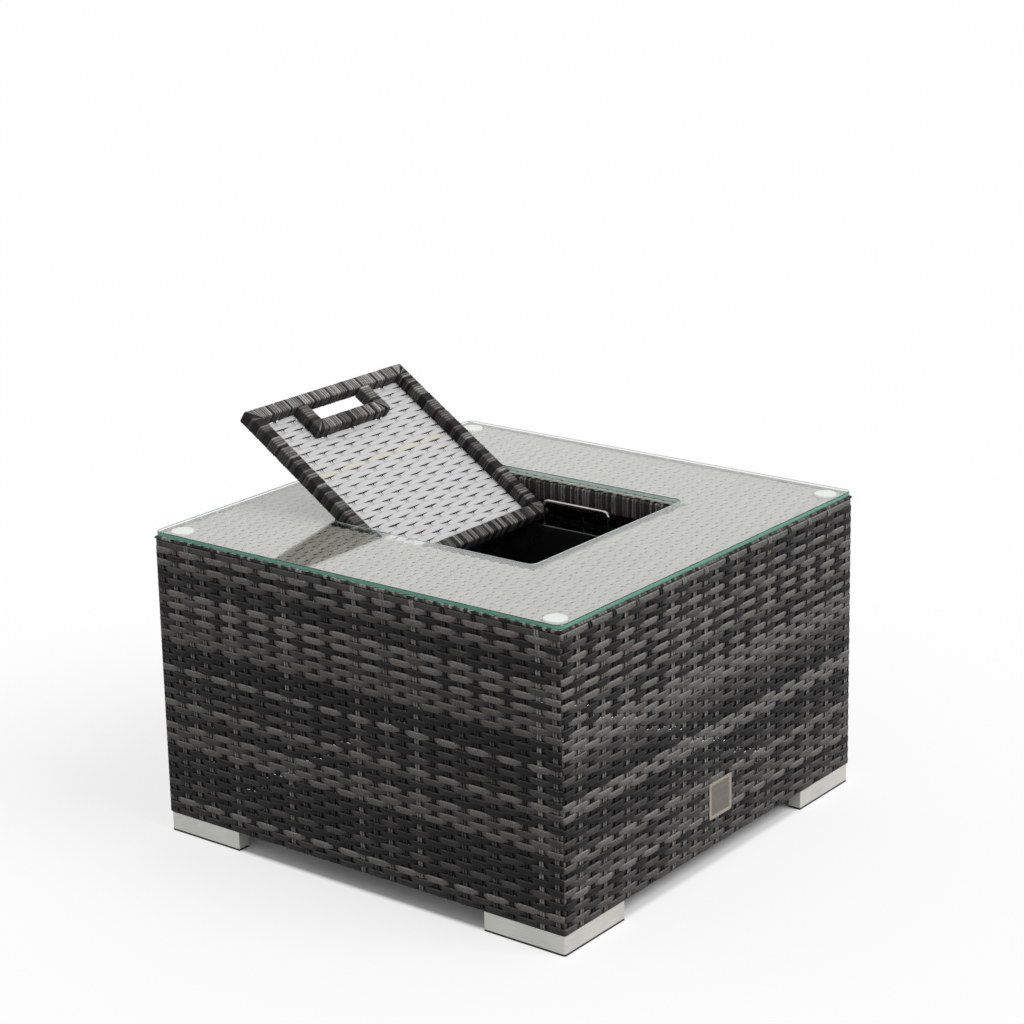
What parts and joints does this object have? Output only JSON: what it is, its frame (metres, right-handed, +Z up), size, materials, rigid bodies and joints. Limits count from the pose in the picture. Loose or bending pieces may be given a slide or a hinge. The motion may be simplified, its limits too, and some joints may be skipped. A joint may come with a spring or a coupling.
{
  "type": "ice bucket coffee table",
  "caption": "Square woven patio coffee table with a glass top, a square opening over a lift-out tub for ice and bottles, and a loose woven lid with a hand-hole, shown propped open.",
  "frame": {"origin": "on the floor, under the middle of the table's square plan", "axes": "+Z up; -Y is the front, with the name plate; the propped lid rises towards +Y"},
  "size_m": [0.7, 0.7, 0.5751],
  "materials": {
    "grey_weave": "flat woven strands in mixed greys with fine grain",
    "grey_wrap": "flat strands wound close round a rail, mixed greys",
    "white_weave": "flat woven off-white strands, satin",
    "glass": "clear toughened, ground green edges",
    "clear_bumper": "clear soft disc",
    "frame_tube": "dark powder coat",
    "foot_aluminium": "fine brushed, satin",
    "plate_metal": "brushed, bare",
    "black_plastic": "matt",
    "black_metal": "satin black paint",
    "tub_black": "satin black paint",
    "bolt_steel": "zinc plated"
  },
  "bodies": {
    "table_body": {"bottom_rail_back": "frame_tube", "bottom_rail_front": "frame_tube", "bottom_rail_left": "frame_tube", "bottom_rail_right": "frame_tube", "bumper_back_left": "clear_bumper", "bumper_back_right": "clear_bumper", "bumper_front_left": "clear_bumper", "bumper_front_right": "clear_bumper", "corner_post_back_left": "frame_tube", "corner_post_back_right": "frame_tube", "corner_post_front_left": "frame_tube", "corner_post_front_right": "frame_tube", "foot_back_left": "foot_aluminium", "foot_back_right": "foot_aluminium", "foot_bolt_back_left": "bolt_steel", "foot_bolt_back_right": "bolt_steel", "foot_bolt_front_left": "bolt_steel", "foot_bolt_front_right": "bolt_steel", "foot_front_left": "foot_aluminium", "foot_front_right": "foot_aluminium", "glass_top": "glass", "glide_back_left": "black_plastic", "glide_back_right": "black_plastic", "glide_front_left": "black_plastic", "glide_front_right": "black_plastic", "lid_ledge_back": "black_metal", "lid_ledge_front": "black_metal", "middle_rail_left": "frame_tube", "middle_rail_right": "frame_tube", "name_plate": "plate_metal", "opening_tube_back": "frame_tube", "opening_tube_front": "frame_tube", "opening_tube_left": "frame_tube", "opening_tube_right": "frame_tube", "opening_wrap_back": "grey_wrap", "opening_wrap_front": "grey_wrap", "opening_wrap_left": "grey_wrap", "opening_wrap_right": "grey_wrap", "side_weave_back": "grey_weave", "side_weave_front": "grey_weave", "side_weave_left": "grey_weave", "side_weave_right": "grey_weave", "top_rail_back": "frame_tube", "top_rail_front": "frame_tube", "top_rail_left": "frame_tube", "top_rail_right": "frame_tube", "top_weave": "white_weave", "tub_rail_back": "frame_tube", "tub_rail_front": "frame_tube"},
    "tub_body": {"tub": "tub_black", "tub_loop_right": "black_metal", "tub_loop_left": "black_metal"},
    "lid_body": {"lid_frame": "frame_tube", "lid_wrap_lower": "grey_wrap", "lid_wrap_right": "grey_wrap", "lid_wrap_upper": "grey_wrap", "lid_wrap_left": "grey_wrap", "lid_grip_wrap": "grey_wrap", "lid_panel": "white_weave"}
  },
  "joints": [
    {"name": "tub_lift", "type": "slide", "parent": "table_body", "child": "tub_body", "axis": [0, 0, 1], "range_m": [0, 0.25]},
    {"name": "lid_lift", "type": "slide", "parent": "tub_body", "child": "lid_body", "axis": [0, 0, 1], "range_m": [0, 0.15]}
  ]
}
